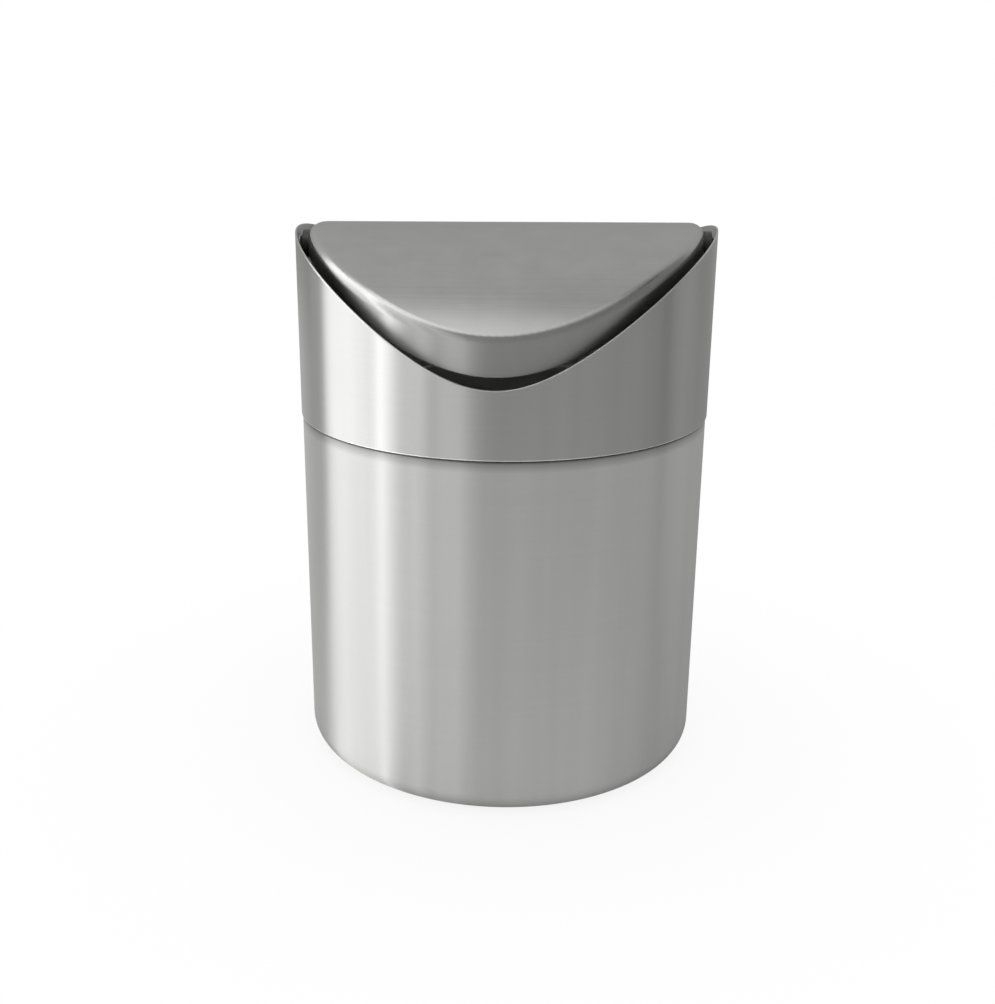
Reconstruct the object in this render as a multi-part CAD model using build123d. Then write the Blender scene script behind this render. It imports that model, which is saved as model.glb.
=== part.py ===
from build123d import *
from math import cos, radians, sin, sqrt, tan
import os

# Countertop trash can with a swing lid: a drawn steel can, a saddle-edged collar that lifts off it,
# and a flap that swings on two pins inside the collar's peaks.
# Millimetres, +Z up, front at -Y. Origin: centre of the underside, on the surface it stands on.

# ---------------------------------------------------------------- driving dimensions
# Sheet and edges
sheet = 0.5                    # steel of the can, collar and spigot ring
flap_sheet = 0.6               # steel of the flap
hem = 1.3                      # thickness of the can's folded rim
hem_height = 4.0               # its height
edge_flat = 0.1                # flat left along the collar's rounded saddle edge

# Can
collar_radius = 60.0           # outside of the collar, the widest part
collar_overhang = 0.35         # collar's outside past the can's
can_height = 103.4             # steel underside to the top of the rim
can_bottom_radius = 6.0        # outside bend between wall and base
base_land = 4.45               # flat ring it stands on, inside the bend
base_recess = 1.2              # height of the raised centre, and width of its sloping edge

# Non-slip base ring
pad_width = 17.0
pad_recess_gap = 1.0           # ring to the edge of the raised centre
pad_proud = 0.6                # ring below the steel
pad_edge_round = 0.4

# Collar
seam_gap = 0.4                 # can rim to the collar's lower edge
saddle_peak = 52.9             # collar's lower edge to its two side peaks
saddle_dip = 34.5              # side peaks down to the edge at front and back
saddle_overrun = 4.4           # half width of the edge's ellipse past the collar's radius

# Spigot ring
spigot_clearance = 0.3         # ring to the folded rim it drops into
spigot_depth = 14.0            # ring below the rim
spigot_seat_gap = 0.3          # ring's shoulder to the rim it sits on
spigot_weld_band = 8.0         # upper band, welded inside the collar
spigot_lead_in = 2.0           # height of the tapered lower end
spigot_taper = 0.5             # its narrowing
spigot_bend_radius = 0.1       # inside radius of the shoulder's bends

# Flap
ridge_rise = 0.7               # flap's ridge above the collar's peaks
crown_drop = 22.6              # ridge down to the front and back of the top
skirt_front_depth = 10.0       # skirt below the top at front and back
skirt_side_depth = 6.0         # skirt below the ridge at the sides
flap_bend_radius = 3.2         # outside bend between top and skirt
ear_radius = 5.0               # ear at each side, round the pivot
ear_flare_angle = 30.0         # slope of the ear's sides, from upright

# Pivots
pivot_depth = 6.0              # pivot axis below the ridge
pin_radius = 1.5
pin_clearance = 0.04           # pin to bush, radial
pin_tenon_radius = 1.2         # tenon past its shoulder, riveted into the hinge plate
pin_tenon_gap = 0.1            # tenon's end to the collar's wall
pin_tip = 1.2                  # pin past its clip
pin_chamfer = 0.4
bush_wall = 1.1
bush_flange_radius = 4.0
bush_flange = 2.1              # its thickness, which spaces the flap off the hinge plate
bush_tail = 1.3                # barrel past the ear
bush_lip = 0.35                # snap lip past the barrel
bush_lip_width = 0.6
side_play = 0.2                # end float on each side of the bush
clip_radius = 3.5
clip_thickness = 0.5
clip_slots = 4
clip_slot_width = 0.7
clip_slot_depth = 1.0
plate_thickness = 0.8          # hinge plate, at its thickest
plate_half_width = 6.0
plate_drop = 6.0               # pivot axis to the plate's lower edge
plate_edge_gap = 2.5           # saddle edge down to the plate's upper edge
plate_corner_radius = 1.5

# ---------------------------------------------------------------- sizes that follow
can_radius = collar_radius - collar_overhang
can_base_z = pad_proud
can_rim_z = can_base_z + can_height
base_recess_radius = can_radius - can_bottom_radius - base_land - base_recess
collar_low_z = can_rim_z + seam_gap
peak_z = collar_low_z + saddle_peak
ridge_z = peak_z + ridge_rise
pivot_z = ridge_z - pivot_depth

collar_inside = collar_radius - sheet
plate_face = collar_inside - plate_thickness
flap_radius = plate_face - side_play - bush_flange
ear_inside = flap_radius - flap_sheet
bush_radius = pin_radius + pin_clearance + bush_wall
bush_end = ear_inside - bush_tail
clip_face = bush_end - side_play
pin_end = clip_face - clip_thickness - pin_tip


def arc_radius(drop, half_chord):
    """Radius of an arc that falls by drop from its top over half_chord to each side."""
    return (drop ** 2 + half_chord ** 2) / (2 * drop)


skirt_side_z = ridge_z - skirt_side_depth
skirt_front_z = ridge_z - crown_drop - skirt_front_depth
crown_arc = arc_radius(crown_drop, flap_radius)
skirt_arc = arc_radius(skirt_side_z - skirt_front_z, flap_radius)

# The ear's straight sides leave its round end as tangents and flare up to the ridge.
ear_side_y = ear_radius * cos(radians(ear_flare_angle))
ear_side_z = pivot_z - ear_radius * sin(radians(ear_flare_angle))
ear_top_half_width = ear_side_y + (ridge_z - ear_side_z) * tan(radians(ear_flare_angle))

# The saddle edge is an ellipse as seen from the side, with its top at the peaks.
saddle_a = collar_radius + saddle_overrun
saddle_b = saddle_dip / (1 - sqrt(1 - (collar_radius / saddle_a) ** 2))

# Cutting bodies reach this far past what they cut.
past = 1.0


# ---------------------------------------------------------------- can
def make_can_shell():
    """Drawn cup with a raised base centre, a bent corner and a rim folded inwards."""
    inside = can_radius - sheet
    rim_inside = can_radius - hem
    base = can_base_z
    corner = can_bottom_radius
    ramp = base_recess_radius + base_recess
    hem_low = can_rim_z - hem_height
    hem_turn = can_rim_z - hem / 2
    with BuildPart() as can:
        with BuildSketch(Plane.XZ):
            with BuildLine():
                Polyline(
                    (can_radius - corner, base),
                    (ramp, base),
                    (base_recess_radius, base + base_recess),
                    (0, base + base_recess),
                    (0, base + base_recess + sheet),
                    (base_recess_radius, base + base_recess + sheet),
                    (ramp, base + sheet),
                    (can_radius - corner, base + sheet),
                )
                RadiusArc(
                    (can_radius - corner, base + sheet), (inside, base + corner), sheet - corner
                )
                Polyline(
                    (inside, base + corner),
                    (inside, hem_low - (hem - sheet)),
                    (rim_inside, hem_low),
                    (rim_inside, hem_turn),
                )
                ThreePointArc(
                    (rim_inside, hem_turn), (can_radius - hem / 2, can_rim_z), (can_radius, hem_turn)
                )
                Line((can_radius, hem_turn), (can_radius, base + corner))
                RadiusArc((can_radius, base + corner), (can_radius - corner, base), corner)
            make_face()
        revolve(axis=Axis.Z)
    return can.part


def make_base_pad():
    """Non-slip ring glued into the recess under the base."""
    outer = base_recess_radius - pad_recess_gap
    thickness = pad_proud + base_recess
    with BuildPart() as pad:
        with BuildSketch(Plane.XZ):
            with Locations((outer - pad_width / 2, thickness / 2)):
                Rectangle(pad_width, thickness)
            fillet(vertices().group_by(Axis.Y)[0], pad_edge_round)
        revolve(axis=Axis.Z)
    return pad.part


# ---------------------------------------------------------------- walls with a shaped edge
def above_arch(half_width, half_height, top):
    """Everything above an elliptical arch with its top at the given height, through in X."""
    reach = 4 * collar_radius
    with BuildPart() as block:
        with BuildSketch(Plane.YZ):
            with Locations((0, top - half_height + reach / 2)):
                Rectangle(2 * half_width, reach)
            with Locations((0, top - half_height)):
                Ellipse(half_width, half_height, mode=Mode.SUBTRACT)
        extrude(amount=2 * collar_radius, both=True)
    return block.part


def wall(radius, low, high):
    """Cylindrical face about the Z axis."""
    return Face.extrude(Edge.make_circle(radius, Plane.XY.offset(low)), (0, 0, high - low))


def saddle_drop(y):
    """How far the saddle edge lies below its peaks at a distance y in front of the axis."""
    return saddle_b * (1 - sqrt(1 - (y / saddle_a) ** 2))


# ---------------------------------------------------------------- collar
def make_collar_shell():
    """Tube with a saddle-shaped upper edge, rounded."""
    outside = wall(collar_radius, collar_low_z, peak_z + past)
    collar = Solid.thicken((outside - above_arch(saddle_a, saddle_b, peak_z)).face(), sheet)
    rim = [e for e in collar.edges().filter_by(GeomType.BSPLINE) if e.length > sheet]
    return collar.fillet((sheet - edge_flat) / 2, rim)


def make_spigot_ring():
    """Joggled ring, welded inside the collar, that drops into the can and sits on its rim."""
    outer = can_radius - hem - spigot_clearance
    shoulder = can_rim_z + spigot_seat_gap
    low = can_rim_z - spigot_depth
    high = shoulder + spigot_weld_band
    with BuildPart() as ring:
        with BuildSketch(Plane.XZ):
            with BuildLine():
                Polyline(
                    (outer - spigot_taper, low),
                    (outer, low + spigot_lead_in),
                    (outer, shoulder),
                    (collar_inside, shoulder),
                    (collar_inside, high),
                    (collar_inside - sheet, high),
                    (collar_inside - sheet, shoulder + sheet),
                    (outer - sheet, shoulder + sheet),
                    (outer - sheet, low + spigot_lead_in),
                    (outer - sheet - spigot_taper, low),
                    close=True,
                )
            make_face()
            bends = vertices().filter_by_position(Axis.Y, shoulder, shoulder + sheet).sort_by(Axis.X)
            fillet([bends[0], bends[-1]], sheet + spigot_bend_radius)
            fillet(bends[1:-1], spigot_bend_radius)
        revolve(axis=Axis.Z)
    return ring.part


# ---------------------------------------------------------------- hinge, right-hand side
def turned(profile):
    """Body of revolution about the pivot axis, from (x, radius) points."""
    with BuildPart() as body:
        with BuildSketch(Plane.XZ):
            with BuildLine():
                Polyline(*[(x, pivot_z + r) for x, r in profile], close=True)
            make_face()
        revolve(axis=Axis((0, 0, pivot_z), (1, 0, 0)))
    return body.part


def make_hinge_plate():
    """Plate welded inside a peak of the collar, flat on the side of the flap."""
    top = peak_z - saddle_drop(plate_half_width) - plate_edge_gap
    bottom = pivot_z - plate_drop
    with BuildPart() as plate:
        with BuildSketch(Plane.YZ.offset(plate_face)):
            with Locations((0, (top + bottom) / 2)):
                RectangleRounded(2 * plate_half_width, top - bottom, plate_corner_radius)
            with Locations((0, pivot_z)):
                Circle(pin_tenon_radius, mode=Mode.SUBTRACT)
        extrude(amount=plate_thickness)
        with BuildSketch(Plane.XY.offset(bottom - past)):
            Circle(collar_inside)
        extrude(amount=top - bottom + 2 * past, mode=Mode.INTERSECT)
    return plate.part


def make_pivot_pin():
    """Shouldered pin, riveted into the hinge plate, that points at the can's axis."""
    tenon_end = collar_inside - pin_tenon_gap
    return turned([
        (pin_end, 0),
        (pin_end, pin_radius - pin_chamfer),
        (pin_end + pin_chamfer, pin_radius),
        (plate_face, pin_radius),
        (plate_face, pin_tenon_radius),
        (tenon_end, pin_tenon_radius),
        (tenon_end, 0),
    ])


def make_pivot_bush():
    """Flanged bush snapped into an ear of the flap."""
    bore = pin_radius + pin_clearance
    lip_radius = bush_radius + bush_lip
    lip_face = sqrt(ear_inside ** 2 - lip_radius ** 2)
    return turned([
        (bush_end, bore),
        (bush_end, bush_radius),
        (lip_face - bush_lip_width, bush_radius),
        (lip_face, lip_radius),
        (lip_face, bush_radius),
        (flap_radius, bush_radius),
        (flap_radius, bush_flange_radius),
        (flap_radius + bush_flange, bush_flange_radius),
        (flap_radius + bush_flange, bore),
    ])


def make_pin_clip():
    """Push-on clip on the end of the pin, with slots between its gripping teeth."""
    with BuildPart() as clip:
        with BuildSketch(Plane.YZ.offset(clip_face - clip_thickness)):
            with Locations((0, pivot_z)):
                Circle(clip_radius)
                Circle(pin_radius, mode=Mode.SUBTRACT)
                with PolarLocations((pin_radius + clip_slot_depth) / 2, clip_slots):
                    Rectangle(pin_radius + clip_slot_depth, clip_slot_width, mode=Mode.SUBTRACT)
        extrude(amount=clip_thickness)
    return clip.part


# ---------------------------------------------------------------- flap
def crowned(radius, ridge, arc, bend):
    """Upright round block under an arched top, with its upper corner bent round."""
    low = skirt_front_z - past
    with BuildPart() as block:
        with BuildSketch(Plane.XY.offset(low)):
            Circle(radius)
        extrude(amount=ridge + past - low)
        with BuildSketch(Plane.YZ):
            with Locations((0, ridge - arc)):
                Circle(arc)
        extrude(amount=2 * radius, both=True, mode=Mode.INTERSECT)
        fillet(faces().sort_by(Axis.Z)[-1].edges(), bend)
    return block.part


def make_flap_shell():
    """Pressed flap: arched top, bent skirt with a curved lower edge, and an ear at each side."""
    outer = crowned(flap_radius, ridge_z, crown_arc, flap_bend_radius)
    inner = crowned(
        ear_inside, ridge_z - flap_sheet, crown_arc - flap_sheet, flap_bend_radius - flap_sheet
    )

    # What is trimmed off below the skirt's edge, as seen from the side, goes round the ears.
    trim_radius = flap_radius + past
    low = skirt_front_z - 2 * past
    with BuildPart() as trimmed:
        with BuildSketch(Plane.YZ):
            with Locations((0, skirt_side_z - skirt_arc)):
                Ellipse(skirt_arc * trim_radius / flap_radius, skirt_arc)
            with Locations((0, low - 2 * skirt_arc)):
                Rectangle(4 * skirt_arc, 4 * skirt_arc, mode=Mode.SUBTRACT)
            with Locations((0, pivot_z)):
                Circle(ear_radius, mode=Mode.SUBTRACT)
            with BuildLine():
                Polyline(
                    (-ear_top_half_width, ridge_z),
                    (-ear_side_y, ear_side_z),
                    (ear_side_y, ear_side_z),
                    (ear_top_half_width, ridge_z),
                    close=True,
                )
            make_face(mode=Mode.SUBTRACT)
        extrude(amount=2 * flap_radius, both=True)
    edge_band = (wall(trim_radius, low, ridge_z) & trimmed.part).face()
    flap = outer - inner - Solid.thicken(edge_band, flap_sheet + 2 * past)
    pivot_holes = Plane.YZ * Pos(0, pivot_z) * Cylinder(bush_radius, 4 * flap_radius)
    return flap - pivot_holes


# ---------------------------------------------------------------- the whole
parts = {
    "can_shell": make_can_shell(),
    "base_pad": make_base_pad(),
    "collar_shell": make_collar_shell(),
    "spigot_ring": make_spigot_ring(),
    "flap_shell": make_flap_shell(),
}
hinge_parts = {
    "hinge_plate": make_hinge_plate(),
    "pivot_pin": make_pivot_pin(),
    "pivot_bush": make_pivot_bush(),
    "pin_clip": make_pin_clip(),
}
for name, part in hinge_parts.items():
    parts[name + "_right"] = part
    parts[name + "_left"] = part.mirror(Plane.YZ)

os.makedirs("parts", exist_ok=True)
for name, part in parts.items():
    export_step(part, f"parts/{name}.step")
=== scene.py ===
from collections import namedtuple
from math import cos, pi, radians, sin

import bpy
from mathutils import Matrix, Vector

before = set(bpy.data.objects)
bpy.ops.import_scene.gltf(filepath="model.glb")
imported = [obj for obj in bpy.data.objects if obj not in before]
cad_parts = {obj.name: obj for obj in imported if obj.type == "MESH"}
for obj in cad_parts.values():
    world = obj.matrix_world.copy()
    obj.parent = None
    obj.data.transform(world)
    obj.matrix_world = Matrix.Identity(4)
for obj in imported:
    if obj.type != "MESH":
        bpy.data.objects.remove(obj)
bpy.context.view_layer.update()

MM = 0.001
WHITE = (1, 1, 1, 1)

# ---------------------------------------------------------------- camera
# Where the camera of the photograph stood, worked out from the bin's outline in it.
CAMERA_DISTANCE = 372.94 * MM      # from the bin's axis, level
CAMERA_HEIGHT = 196.81 * MM        # above the worktop
CAMERA_SIDE = radians(2.2)         # round the bin, to the right
CAMERA_PAN = radians(3.18)         # turned to the left of the bin
CAMERA_PITCH = radians(18.27)      # looking down
CAMERA_ROLL = radians(-0.30)
FOCAL_PIXELS = 1274.56
FRAME_PIXELS = 1004                # long side of the picture
SHIFT_PIXELS = 63.23               # picture's centre, to the right of the lens's axis
SENSOR = 36.0
CLIP_START = 0.01

# ---------------------------------------------------------------- light tent
# Cards that only reflections see. Levels are shares of white.
BRIGHTEST = 3.2                    # the level that a ramp's 1 stands for
# The walls' levels go round by the direction in which the bin's side reflects them, in degrees from the
# front (-Y) to the left (-X). So an upright card is seen with straight edges at every height of the bin.
WALL_LEVELS = [
    (-180, 0.36), (-155, 0.40), (-131, 0.54), (-116, 0.66), (-94, 0.62), (-60, 0.64), (0, 0.63), (8, 0.66),
    (14, 0.88), (19, 1.20), (26, 1.28), (40, 1.28), (54, 1.40), (58, 1.52), (61, 2.25), (80, 2.32),
    (88, 2.60), (98, 2.85), (106, 2.80), (111, 2.65), (114.5, 0.66), (128, 0.70), (150, 0.76), (180, 0.50),
]
# Narrow strips and folds between the wall's cards: direction, half width, change of level.
WALL_STRIPS = [
    (-101, 7, -0.26), (21, 5, 0.22), (29, 5, 0.14), (36, 5, -0.24), (45, 7, 0.32), (54, 5, -0.18),
    (67.5, 5, 1.90),
]
# The table round the bin, mixed into the lower cards: levels by direction, as for the walls.
NEAR_LEVELS = [
    (-180, 0.42), (-112, 0.42), (-50, 1.15), (50, 1.15), (75, 2.10), (110, 2.20), (130, 0.8), (180, 0.42),
]
NEAR_FROM, NEAR_TO = 0.05, 0.34    # distances from the bin's axis over which it fades out
NEAR_SHARE = 0.6                   # how much of it is mixed in at most
# Dark crease where the bin meets the table: distances where it is darkest and ends, and light left in it.
CONTACT_FROM, CONTACT_TO, CONTACT_SHARE = 0.055, 0.069, 0.40
# The ceiling's levels go over the bin, in degrees from the front horizon to the back one.
CEILING_LEVELS = [
    (0, 0.35), (54, 0.35), (60, 1.40), (79, 1.40), (83, 1.15), (87, 0.84), (91, 0.66), (94, 0.50), (98, 0.72),
    (111, 0.76), (121, 0.72), (131, 0.67), (142, 0.60), (151, 0.50), (160, 0.42), (180, 0.42),
]
CEILING_FROM, CEILING_FULL = 50, 56         # elevations where the walls give way to the ceiling
CEILING_REACH = 50                          # how much lower it comes at the back, in degrees
REACH_FROM, REACH_FULL = -0.15, -0.5        # front shares of a direction where that begins and is full
CEILING_LEAN = 1.6                          # how much brighter the ceiling's front part is to the left
LEAN_FULL, LEAN_END = 0.47, 0.56            # shares of the way over where that is full and ends
GAP_LEVEL = 0.35                            # dark gap between the walls and the ceiling
GAP_FROM, GAP_FULL = 16, 28                 # elevations where it begins
GAP_LEFT_FROM, GAP_LEFT_TO = 0.15, 0.45     # left shares of a direction over which it fades out
TENT_CENTRE = 0.08                          # height from which elevations are taken
TENT_RADIUS = 0.30
TENT_PROFILE = [                            # radius and height, from the table round the bin to the top
    (0.054, 0.0004), (0.064, 0.0008), (0.10, 0.001), (0.16, 0.001), (0.26, 0.001), (TENT_RADIUS, 0.03),
    (TENT_RADIUS, 0.30), (0.22, 0.42), (0, 0.50),
]
BIN_RADIUS = 0.06
REFLECTED_SHARE = 0.535            # share of a direction that lies beyond the surface's own direction
REFLECTION_STEPS = 5

# ---------------------------------------------------------------- floor and world
AMBIENT = 1.12                     # the world's light on the bin
FLOOR_RADIUS = 3.0
FLOOR_GREY = (0.88, 0.88, 0.88, 1)
FLOOR_SHADOW_FROM, FLOOR_SHADOW_TO = 0.065, 0.20
FLOOR_NEAR_SHARE = 0.86            # white share of the floor near the bin; the rest keeps the shadow
SMOOTH_SIDES = 192

# ---------------------------------------------------------------- steel
STEEL_TINT = (1.0, 1.0, 0.978)     # slightly warm grey
MIDDLE = (0.0, 0.0, 0.09)          # of the bin: what faces it is inside
LEVEL_FROM, LEVEL_FULL = 0.25, 0.6          # upward share of the normal where a side becomes a top
SKIRT_SHADE_SHARE = 0.82                 # the flap's skirt against its top: painted shade, darker where it stands shaded inside the collar
# Noises, in waves a metre along X, Y and Z.
FINE_GRAIN = (25.0, 25.0, 5200.0)
COARSE_GRAIN = (9.0, 9.0, 900.0)
TOP_GRAIN = (14.0, 2600.0, 2600.0)
LONG_WAVES = (90.0, 90.0, 2.0)
UPRIGHT_BANDS = (130.0, 130.0, 3.0)
SOFT_PATCHES = (35.0, 35.0, 35.0)
COARSE_SHARE = 0.35                # of coarse grain, the rest is fine
GRAIN_GREY, BAND_GREY = 0.06, 0.08          # how much they change the grey, up and down
GRAIN_ROUGH, SOFT_ROUGH = 0.04, 0.03        # the same for the roughness
GRAIN_DEPTH = 0.0000012
WAVE_DEPTH = 0.00004
ROUND_ROTATION = 0.25              # turns the shine so that the grooves follow the tangent
ANISOTROPY = 0.97
EDGE_ROUND = 0.0005                # rounding of the sheets' cut edges
EDGE_HIGHLIGHT_GAIN = 1.6                    # how much brighter the edges are painted: a painted highlight along them
EDGE_FULL, EDGE_END = 0.90, 0.998  # cosines of the rounding's turn where that is full and where it ends
RIM_Z = 0.104                      # can's rim
RIM_SHADE_HEIGHT = 0.003                   # height of the band of painted shade under it, where the collar's overhang shades the can
RIM_SHADE_DARK = 0.50                    # share of painted shade at the rim


class Graph:
    """Adds linked nodes to a node tree."""

    def __init__(self, owner):
        owner.use_nodes = True
        self.tree = owner.node_tree
        self.tree.nodes.clear()

    def add(self, kind, inputs=None, **settings):
        """Node with its settings, and its inputs linked or set."""
        node = self.tree.nodes.new(kind)
        for name, value in settings.items():
            setattr(node, name, value)
        for name, value in (inputs or {}).items():
            self.put(value, node.inputs[name])
        return node

    def put(self, value, port):
        if isinstance(value, bpy.types.NodeSocket):
            self.tree.links.new(value, port)
        else:
            port.default_value = value

    def math(self, operation, *values, clamp=False):
        inputs = dict(enumerate(values))
        return self.add("ShaderNodeMath", inputs, operation=operation, use_clamp=clamp).outputs[0]

    def vector(self, operation, *values):
        inputs = dict(enumerate(values))
        return self.add("ShaderNodeVectorMath", inputs, operation=operation).outputs

    def apart(self, vector):
        """The vector's X, Y and Z."""
        return self.add("ShaderNodeSeparateXYZ", {0: vector}).outputs

    def length(self, side, other):
        """Hypotenuse."""
        squares = [self.math("POWER", value, 2.0) for value in (side, other)]
        return self.math("SQRT", self.math("ADD", *squares))

    def vary(self, value, centre, swing):
        """Carries 0 to 1 to centre less swing to centre plus swing."""
        return self.math("MULTIPLY_ADD", value, 2 * swing, centre - swing)

    def ramp(self, factor, stops):
        """Linear grey ramp through (position, level) stops."""
        node = self.add("ShaderNodeValToRGB", {"Fac": factor})
        elements = node.color_ramp.elements
        while len(elements) < len(stops):
            elements.new(1.0)
        for element, (position, level) in zip(elements, stops):
            element.position = position
        for element, (position, level) in zip(elements, stops):
            element.color = (level, level, level, 1.0)
        return node.outputs["Color"]

    def mix(self, factor, low, high, kind="FLOAT"):
        """Linear mix, by a Mix node's sockets for its kind of data."""
        node = self.add("ShaderNodeMix", data_type=kind)
        ports = [port for port in node.inputs if port.enabled]
        for port, value in zip((ports[0], ports[-2], ports[-1]), (factor, low, high)):
            self.put(value, port)
        return next(port for port in node.outputs if port.enabled)

    def smooth(self, value, low, high, start=0.0, stop=1.0):
        """Smooth step from start at low to stop at high."""
        inputs = {"Value": value, "From Min": low, "From Max": high, "To Min": start, "To Max": stop}
        return self.add("ShaderNodeMapRange", inputs, interpolation_type="SMOOTHSTEP").outputs["Result"]

    def noise(self, place, stretch, detail, roughness=0.5):
        """Noise whose frequency differs along the axes, in waves a metre."""
        place = self.vector("MULTIPLY", place, stretch)[0]
        inputs = {"Vector": place, "Scale": 1.0, "Detail": detail, "Roughness": roughness}
        return self.add("ShaderNodeTexNoise", inputs).outputs["Fac"]

    def bump(self, relief, depth, normal=None):
        """Bump over a normal, or over the surface's own."""
        inputs = {"Height": relief, "Strength": 1.0, "Distance": depth}
        if normal is not None:
            inputs["Normal"] = normal
        return self.add("ShaderNodeBump", inputs).outputs[0]

    def seen(self):
        """1 on rays from the camera and off shiny or clear surfaces."""
        path = self.add("ShaderNodeLightPath").outputs
        shiny = self.math("MAXIMUM", path["Is Camera Ray"], path["Is Glossy Ray"])
        return self.math("MAXIMUM", shiny, path["Is Transmission Ray"])

    def inward(self, here):
        """1 where the surface faces the middle of the bin, 0 outside."""
        middle = self.vector("SUBTRACT", MIDDLE, here["Object"])[0]
        facing = self.vector("DOT_PRODUCT", here["Normal"], middle)["Value"]
        return self.math("GREATER_THAN", facing, 0.0)

    def level(self, here):
        """1 where the surface lies level, 0 where it stands upright."""
        tilt = self.math("ABSOLUTE", self.apart(here["Normal"])["Z"])
        return self.smooth(tilt, LEVEL_FROM, LEVEL_FULL)


# ---------------------------------------------------------------- materials
Inside = namedtuple("Inside", "grey metallic roughness")


def steel_colour(grey):
    return (*(grey * share for share in STEEL_TINT), 1.0)


def steel_between(graph, factor, grey, swing):
    """Steel from darker to lighter than its grey, by a share of it."""
    return graph.mix(factor, steel_colour(grey * (1 - swing)), steel_colour(grey * (1 + swing)), "RGBA")


def start(name):
    """New material, its graph, and its coordinates in the piece's own axes, which move with it."""
    material = bpy.data.materials.new(name)
    graph = Graph(material)
    return material, graph, graph.add("ShaderNodeTexCoord").outputs


def finish(material, graph, surface_inputs):
    surface = graph.add("ShaderNodeBsdfPrincipled", surface_inputs)
    graph.add("ShaderNodeOutputMaterial", {"Surface": surface.outputs[0]})
    return material


def brushed_steel(name, grey, seed, inside, metallic=1.0, roughness=0.32, top_roughness=None, rim_shade=False):
    """Stainless steel, brushed outside and plain satin inside. The grooves run round the Z axis.

    A level top, where there is one, has its own roughness, and its grooves run from side to side; the upright
    sides under it are given painted shade.
    """
    material, graph, here = start(name)
    place = graph.vector("ADD", here["Object"], (seed, seed, seed))[0]
    inward = graph.inward(here)
    fine = graph.noise(place, FINE_GRAIN, detail=3.0, roughness=0.6)
    coarse = graph.noise(place, COARSE_GRAIN, detail=2.0)
    waves = graph.noise(place, LONG_WAVES, detail=1.0)
    bands = graph.noise(place, UPRIGHT_BANDS, detail=2.0)
    soft = graph.noise(place, SOFT_PATCHES, detail=2.0)
    grain = graph.math("MULTIPLY_ADD", coarse, COARSE_SHARE, graph.math("MULTIPLY", fine, 1 - COARSE_SHARE))
    tangent = graph.add("ShaderNodeTangent", direction_type="RADIAL", axis="Z").outputs[0]
    if top_roughness:
        level = graph.level(here)
        across = graph.noise(place, TOP_GRAIN, detail=3.0, roughness=0.6)
        grain = graph.mix(level, grain, across)
        roughness = graph.mix(level, roughness, top_roughness)
        tangent = graph.mix(level, tangent, (1.0, 0.0, 0.0), "VECTOR")
        # Painted shade: the upright skirt gets a darker grey than the level top.
        grey = graph.mix(level, grey * SKIRT_SHADE_SHARE, grey)

    # A cut edge is where the rounded normal leaves the flat one. Both are in the world's axes, in any pose.
    normal = graph.add("ShaderNodeBevel", {"Radius": EDGE_ROUND}, samples=6).outputs[0]
    flat = graph.add("ShaderNodeNewGeometry").outputs["Normal"]
    turned = graph.vector("DOT_PRODUCT", normal, flat)["Value"]
    # Painted highlight: the grey is made lighter along the rounded cut edges.
    shares = [
        graph.smooth(turned, EDGE_FULL, EDGE_END, 1.0 + EDGE_HIGHLIGHT_GAIN, 1.0),
        graph.vary(grain, 1.0, GRAIN_GREY),
        graph.vary(bands, 1.0, BAND_GREY),
    ]
    # Painted shade: the can's grey darkens towards its rim, where the collar's overhang shades it.
    if rim_shade:
        height = graph.math("SUBTRACT", graph.apart(here["Object"])["Z"], RIM_Z - RIM_SHADE_HEIGHT)
        rise = graph.math("DIVIDE", height, RIM_SHADE_HEIGHT, clamp=True)
        shares.append(graph.math("MULTIPLY_ADD", rise, -RIM_SHADE_DARK, 1.0))
    for share in shares:
        grey = graph.math("MULTIPLY", grey, share)
    scaled = {0: STEEL_TINT, "Scale": graph.mix(inward, grey, inside.grey)}
    shade = graph.add("ShaderNodeVectorMath", scaled, operation="SCALE")
    rough = graph.math("ADD", roughness, graph.vary(grain, 0.0, GRAIN_ROUGH))
    rough = graph.math("ADD", rough, graph.vary(soft, 0.0, SOFT_ROUGH))
    for relief, depth in ((grain, GRAIN_DEPTH), (waves, WAVE_DEPTH)):
        normal = graph.bump(relief, depth, normal)
    return finish(material, graph, {
        "Base Color": shade.outputs[0],
        "Metallic": graph.mix(inward, metallic, inside.metallic),
        "Roughness": graph.mix(inward, rough, inside.roughness),
        "Anisotropic": ANISOTROPY,
        "Anisotropic Rotation": ROUND_ROTATION,
        "Tangent": tangent,
        "Normal": normal,
    })


def satin_steel(name, grey, seed):
    """Plain mill finish: faint rolling lines and soft patches."""
    material, graph, here = start(name)
    place = graph.vector("ADD", here["Object"], (seed, seed, seed))[0]
    lines = graph.noise(place, (60.0, 60.0, 2200.0), detail=2.0)
    patches = graph.noise(place, (120.0, 120.0, 120.0), detail=3.0)
    return finish(material, graph, {
        "Base Color": steel_between(graph, patches, grey, 0.10),
        "Metallic": 0.85,
        "Roughness": graph.vary(lines, 0.44, 0.06),
        "Normal": graph.bump(lines, GRAIN_DEPTH),
    })


def turned_steel(name, grey):
    """Lathe marks round the X axis."""
    material, graph, here = start(name)
    rings = graph.noise(here["Object"], (9000.0, 0.0, 0.0), detail=2.0)
    wear = graph.noise(here["Object"], (700.0, 700.0, 700.0), detail=2.0)
    return finish(material, graph, {
        "Base Color": steel_between(graph, rings, grey, 0.15),
        "Metallic": 1.0,
        "Roughness": graph.vary(wear, 0.26, 0.08),
        "Normal": graph.bump(rings, depth=0.000002),
    })


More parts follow.
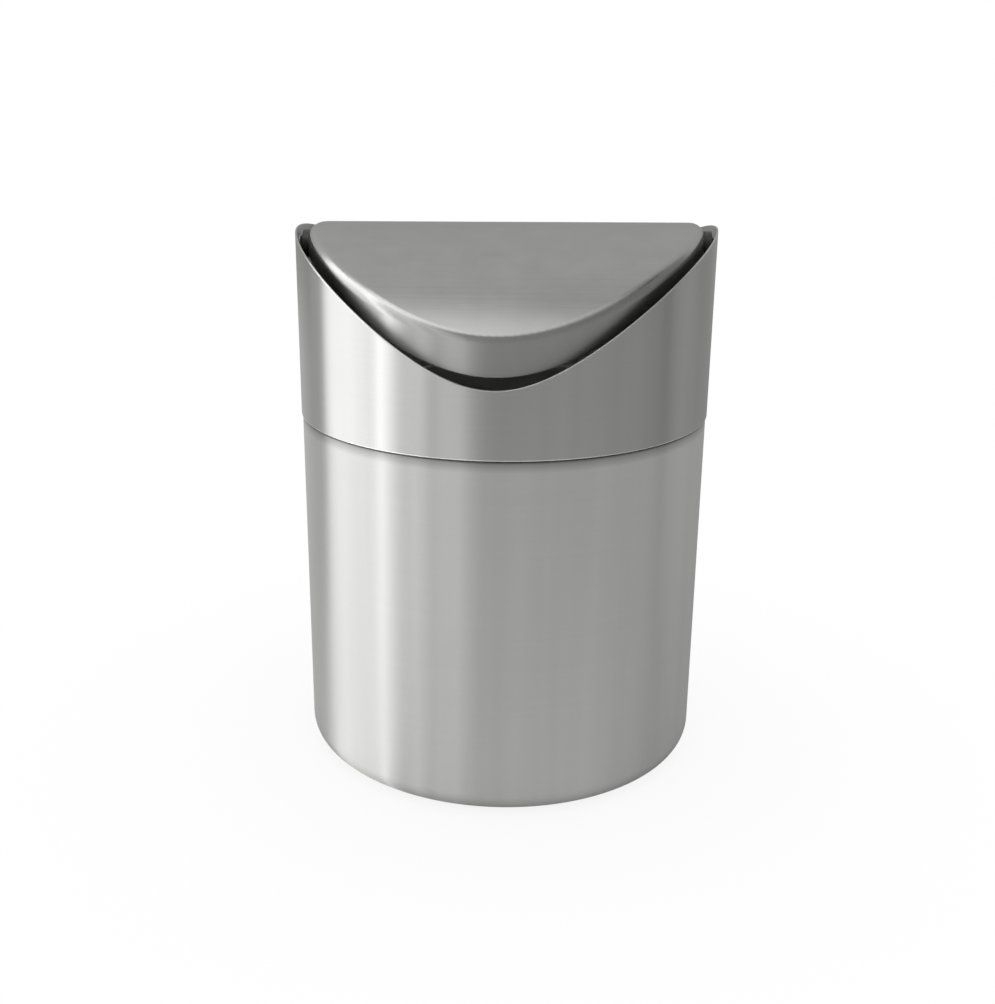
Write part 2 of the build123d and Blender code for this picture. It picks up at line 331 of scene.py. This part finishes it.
def spring_steel(name):
    """Tempered strip: dark, with straw and blue patches."""
    material, graph, here = start(name)
    patches = graph.noise(here["Object"], (450.0, 450.0, 450.0), detail=3.0)
    pits = graph.noise(here["Object"], (4000.0, 4000.0, 4000.0), detail=2.0)
    return finish(material, graph, {
        "Base Color": graph.mix(patches, (0.20, 0.21, 0.24, 1.0), (0.34, 0.31, 0.26, 1.0), "RGBA"),
        "Metallic": 1.0,
        "Roughness": graph.vary(pits, 0.36, 0.10),
        "Normal": graph.bump(pits, depth=0.000003),
    })


def moulded_plastic(name):
    """Black acetal with a fine spark-eroded grain."""
    material, graph, here = start(name)
    grain = graph.noise(here["Object"], (5000.0, 5000.0, 5000.0), detail=2.0)
    return finish(material, graph, {
        "Base Color": graph.mix(grain, (0.022, 0.022, 0.023, 1.0), (0.045, 0.045, 0.046, 1.0), "RGBA"),
        "Roughness": graph.vary(grain, 0.48, 0.10),
        "Normal": graph.bump(grain, depth=0.00001),
    })


def foam_rubber(name):
    """Dark closed-cell foam."""
    material, graph, here = start(name)
    cells = graph.add("ShaderNodeTexVoronoi", {"Vector": here["Object"], "Scale": 2200.0}).outputs["Distance"]
    dust = graph.noise(here["Object"], (300.0, 300.0, 300.0), detail=2.0)
    return finish(material, graph, {
        "Base Color": graph.mix(dust, (0.028, 0.028, 0.028, 1.0), (0.060, 0.059, 0.057, 1.0), "RGBA"),
        "Roughness": graph.vary(cells, 0.82, 0.10),
        "Normal": graph.bump(cells, depth=0.00012),
    })


def dress(material, *nodes):
    for node in nodes:
        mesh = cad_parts[node].data
        mesh.materials.clear()
        mesh.materials.append(material)


def pair(node):
    return [f"{node}_{side}" for side in ("left", "right")]


dress(
    brushed_steel("can_steel", 0.39, 0.0, Inside(0.84, 0.3, 0.48), metallic=0.64, rim_shade=True),
    "can_shell",
)
dress(brushed_steel("collar_steel", 0.36, 3.1, Inside(0.45, 1.0, 0.35)), "collar_shell")
dress(brushed_steel("flap_steel", 0.385, 7.7, Inside(0.68, 0.5, 0.42), top_roughness=0.17), "flap_shell")
dress(brushed_steel("ring_steel", 0.42, 5.3, Inside(0.85, 0.2, 0.48)), "spigot_ring")
dress(satin_steel("inner_steel", 0.44, seed=5.3), *pair("hinge_plate"))
dress(turned_steel("pin_steel", 0.55), *pair("pivot_pin"))
dress(spring_steel("clip_steel"), *pair("pin_clip"))
dress(moulded_plastic("bush_plastic"), *pair("pivot_bush"))
dress(foam_rubber("pad_foam"), "base_pad")


# ---------------------------------------------------------------- camera and studio
def make_camera():
    data = bpy.data.cameras.new("camera")
    data.sensor_width = SENSOR
    data.lens = SENSOR * FOCAL_PIXELS / FRAME_PIXELS
    data.shift_x = SHIFT_PIXELS / FRAME_PIXELS
    data.clip_start = CLIP_START
    camera = bpy.data.objects.new("camera", data)
    bpy.context.collection.objects.link(camera)
    yaw = CAMERA_SIDE + CAMERA_PAN
    ahead = Vector((-sin(yaw), cos(yaw), 0))
    level = Vector((cos(yaw), sin(yaw), 0))
    forward = ahead * cos(CAMERA_PITCH) - Vector((0, 0, sin(CAMERA_PITCH)))
    lifted = ahead * sin(CAMERA_PITCH) + Vector((0, 0, cos(CAMERA_PITCH)))
    right = level * cos(CAMERA_ROLL) + lifted * sin(CAMERA_ROLL)
    up = lifted * cos(CAMERA_ROLL) - level * sin(CAMERA_ROLL)
    turn = Matrix((right, up, -forward)).transposed().to_4x4()
    place = Vector(
        (CAMERA_DISTANCE * sin(CAMERA_SIDE), -CAMERA_DISTANCE * cos(CAMERA_SIDE), CAMERA_HEIGHT)
    )
    camera.matrix_world = Matrix.Translation(place) @ turn
    bpy.context.scene.camera = camera


def circle(radius, z):
    angles = [2 * pi * i / SMOOTH_SIDES for i in range(SMOOTH_SIDES)]
    return [(radius * cos(angle), radius * sin(angle), z) for angle in angles]


def stage_mesh(name, verts, faces, material):
    """Smooth mesh that belongs to the studio, not to the bin."""
    mesh = bpy.data.meshes.new(name)
    mesh.from_pydata(verts, [], faces)
    mesh.materials.append(material)
    for polygon in mesh.polygons:
        polygon.use_smooth = True
    piece = bpy.data.objects.new(name, mesh)
    bpy.context.collection.objects.link(piece)
    return piece


def make_floor():
    """White paper. To the eye it is plain white, but near the bin it keeps part of the bin's shadow."""
    material, graph, here = start("floor")
    distance = graph.vector("LENGTH", here["Object"])["Value"]
    share = graph.smooth(distance, FLOOR_SHADOW_FROM, FLOOR_SHADOW_TO, FLOOR_NEAR_SHARE, 1.0)
    white = graph.add("ShaderNodeEmission", {"Color": WHITE, "Strength": 1.0})
    paper = graph.add("ShaderNodeBsdfDiffuse", {"Color": FLOOR_GREY})
    surface = graph.add(
        "ShaderNodeMixShader",
        {"Fac": graph.math("MULTIPLY", share, graph.seen()), 1: paper.outputs[0], 2: white.outputs[0]},
    )
    graph.add("ShaderNodeOutputMaterial", {"Surface": surface.outputs[0]})
    stage_mesh("floor", circle(FLOOR_RADIUS, 0), [list(range(SMOOTH_SIDES))], material)


def wall_light(graph, left, front, reach):
    """Levels of the walls and of the table round the bin, as shares of the brightest."""
    # The direction in which the bin's side reflects this spot, found by repeated substitution.
    azimuth = graph.math("ARCTAN2", left, front)
    nearness = graph.math("DIVIDE", BIN_RADIUS, reach)
    direction = azimuth
    for _ in range(REFLECTION_STEPS):
        beyond = graph.math("SINE", graph.math("MULTIPLY", direction, REFLECTED_SHARE))
        turn = graph.math("ARCSINE", graph.math("MULTIPLY", nearness, beyond))
        direction = graph.math("ADD", azimuth, turn)
    round_share = graph.math("MULTIPLY_ADD", direction, 1 / (2 * pi), 0.5)
    walls, table = [
        graph.ramp(round_share, [((angle + 180) / 360, level / BRIGHTEST) for angle, level in levels])
        for levels in (WALL_LEVELS, NEAR_LEVELS)
    ]
    for angle, half_width, change in WALL_STRIPS:
        off = graph.math("ABSOLUTE", graph.math("SUBTRACT", direction, radians(angle)))
        strip = graph.smooth(off, 0.0, radians(half_width), change / BRIGHTEST, 0.0)
        walls = graph.math("ADD", walls, strip)
    walls = graph.mix(graph.smooth(reach, NEAR_FROM, NEAR_TO, NEAR_SHARE, 0.0), walls, table)
    return graph.math("MULTIPLY", walls, graph.smooth(reach, CONTACT_FROM, CONTACT_TO, CONTACT_SHARE, 1.0))


def make_tent():
    """Cards round and over the bin, there for reflections alone."""
    material, graph, here = start("tent_cards")
    axes = graph.apart(here["Object"])
    left = graph.math("MULTIPLY", axes["X"], -1.0)
    front = graph.math("MULTIPLY", axes["Y"], -1.0)
    height = graph.math("SUBTRACT", axes["Z"], TENT_CENTRE)
    reach = graph.length(left, front)
    away = graph.length(reach, height)
    lift = graph.math("ARCTAN2", height, reach)
    lean = graph.math("DIVIDE", left, away)

    gap = graph.math(
        "MULTIPLY",
        graph.smooth(lift, radians(GAP_FROM), radians(GAP_FULL)),
        graph.smooth(lean, GAP_LEFT_FROM, GAP_LEFT_TO, 1.0, 0.0),
    )
    walls = graph.mix(gap, wall_light(graph, left, front, reach), GAP_LEVEL / BRIGHTEST)

    over = graph.math("DIVIDE", graph.math("ARCTAN2", height, front), pi)
    ceiling = graph.ramp(over, [(angle / 180, level / BRIGHTEST) for angle, level in CEILING_LEVELS])
    gain = graph.math("MULTIPLY", lean, graph.smooth(over, LEAN_FULL, LEAN_END, CEILING_LEAN, 0.0))
    ceiling = graph.math("MULTIPLY", ceiling, graph.math("ADD", gain, 1.0))
    ahead = graph.math("DIVIDE", front, away)
    lower = graph.smooth(ahead, REACH_FULL, REACH_FROM, radians(CEILING_REACH), 0.0)
    above = graph.smooth(graph.math("ADD", lift, lower), radians(CEILING_FROM), radians(CEILING_FULL))

    light = graph.add(
        "ShaderNodeEmission", {"Color": graph.mix(above, walls, ceiling), "Strength": BRIGHTEST}
    )
    graph.add("ShaderNodeOutputMaterial", {"Surface": light.outputs[0]})
    material.cycles.emission_sampling = "NONE"
    verts = [vert for radius, z in TENT_PROFILE for vert in circle(radius, z)]
    faces = [
        (low + j, low + (j + 1) % SMOOTH_SIDES,
         low + SMOOTH_SIDES + (j + 1) % SMOOTH_SIDES, low + SMOOTH_SIDES + j)
        for low in range(0, len(verts) - SMOOTH_SIDES, SMOOTH_SIDES) for j in range(SMOOTH_SIDES)
    ]
    tent = stage_mesh("tent", verts, faces, material)
    tent.visible_camera = False
    tent.visible_diffuse = False
    tent.visible_shadow = False


def make_world():
    """Even white light, seen as plain white."""
    world = bpy.data.worlds.new("world")
    bpy.context.scene.world = world
    graph = Graph(world)
    level = graph.mix(graph.seen(), AMBIENT, 1.0)
    light = graph.add("ShaderNodeBackground", {"Color": WHITE, "Strength": level})
    graph.add("ShaderNodeOutputWorld", {"Surface": light.outputs[0]})
    world.cycles.sampling_method = "NONE"


make_camera()
make_floor()
make_tent()
make_world()
bpy.context.scene.view_settings.view_transform = "Standard"
